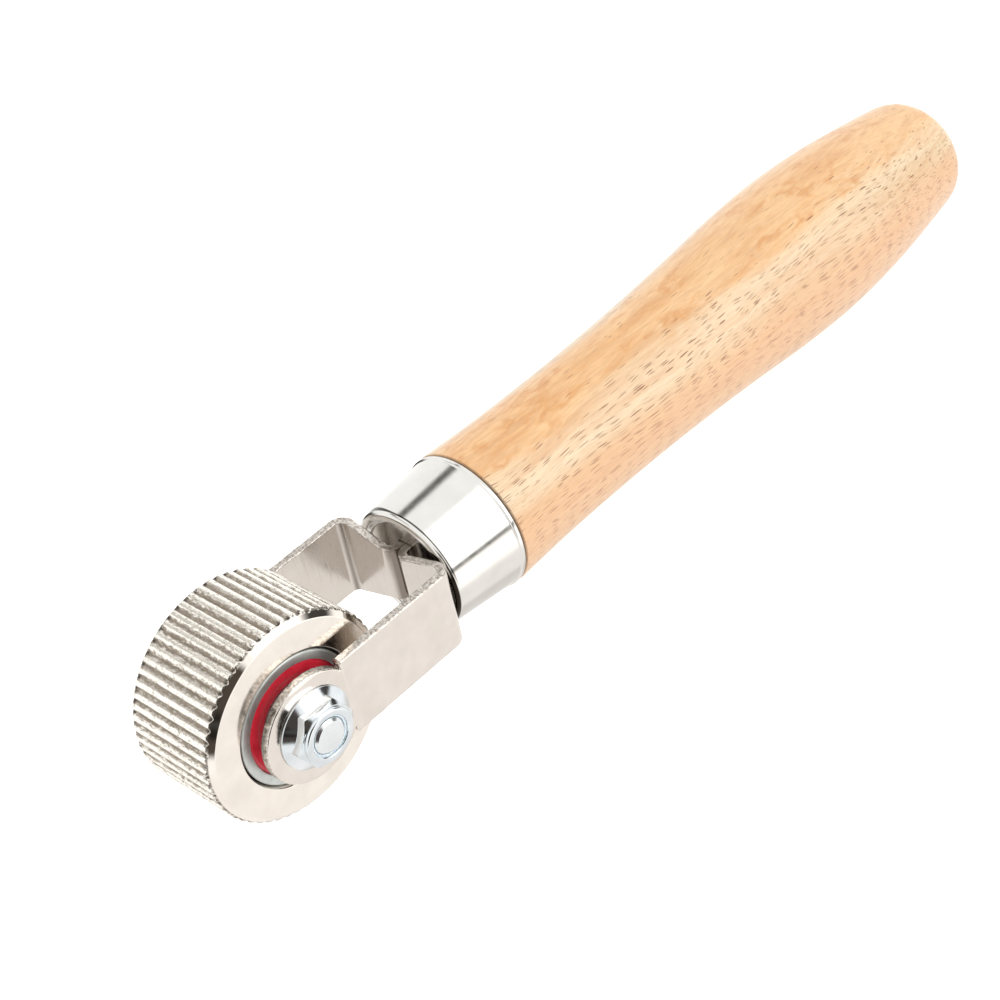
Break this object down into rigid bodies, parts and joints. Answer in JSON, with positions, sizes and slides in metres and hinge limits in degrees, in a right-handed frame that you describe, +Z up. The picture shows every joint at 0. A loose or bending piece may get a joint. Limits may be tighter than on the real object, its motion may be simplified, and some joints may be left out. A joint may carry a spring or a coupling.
{
  "type": "seam roller",
  "caption": "Hand seam roller: ridged steel wheel on sealed ball bearings in a bent sheet fork, with a ferrule and a turned wooden handle.",
  "frame": {"origin": "centre of the wheel: on the axle's axis, midway between the wheel's two flat faces", "axes": "+X along the handle from the axle to the butt, +Y along the axle from the lock nut to the bolt head, +Z up"},
  "size_m": [0.1915, 0.033, 0.035],
  "materials": {
    "wheel_nickel": "nickel plated, straight ridges, satin",
    "bearing_steel": "ground bearing steel",
    "ball_steel": "polished bearing balls",
    "cage_polyamide": "moulded ring",
    "seal_rubber": "red moulded rubber",
    "turned_steel": "turned, bright",
    "bolt_zinc": "bright zinc plate",
    "nut_zinc": "bright zinc plate",
    "nylon": "natural nylon ring",
    "fork_nickel": "nickel plated sheet, satin",
    "ferrule_nickel": "bright nickel plated sheet",
    "beech": "beech, satin clear varnish"
  },
  "bodies": {
    "frame": {"fork": "fork_nickel", "ferrule": "ferrule_nickel", "handle": "beech", "axle_bolt": "bolt_zinc", "lock_nut": "nut_zinc", "nut_insert": "nylon", "near_bush": "turned_steel", "far_bush": "turned_steel", "ring_spacer": "turned_steel", "near_inner_ring": "bearing_steel", "far_inner_ring": "bearing_steel"},
    "roller": {"roller_wheel": "wheel_nickel", "near_outer_ring": "bearing_steel", "near_outward_seal": "seal_rubber", "near_inward_seal": "seal_rubber", "far_outer_ring": "bearing_steel", "far_outward_seal": "seal_rubber", "far_inward_seal": "seal_rubber"},
    "near_ball_set": {"near_balls": "ball_steel", "near_cage": "cage_polyamide"},
    "far_ball_set": {"far_balls": "ball_steel", "far_cage": "cage_polyamide"}
  },
  "joints": [
    {"name": "roller_spin", "type": "hinge", "parent": "frame", "child": "roller", "pos_m": [0, 0, 0], "axis": [0, 1, 0], "continuous": true},
    {"name": "near_ball_orbit", "type": "hinge", "parent": "frame", "child": "near_ball_set", "pos_m": [0, -0.0055, 0], "axis": [0, 1, 0], "continuous": true},
    {"name": "far_ball_orbit", "type": "hinge", "parent": "frame", "child": "far_ball_set", "pos_m": [0, 0.0055, 0], "axis": [0, 1, 0], "continuous": true}
  ],
  "couplings": [
    {"joint": "near_ball_orbit", "follows": "roller_spin", "ratio": 0.63},
    {"joint": "far_ball_orbit", "follows": "roller_spin", "ratio": 0.63}
  ]
}
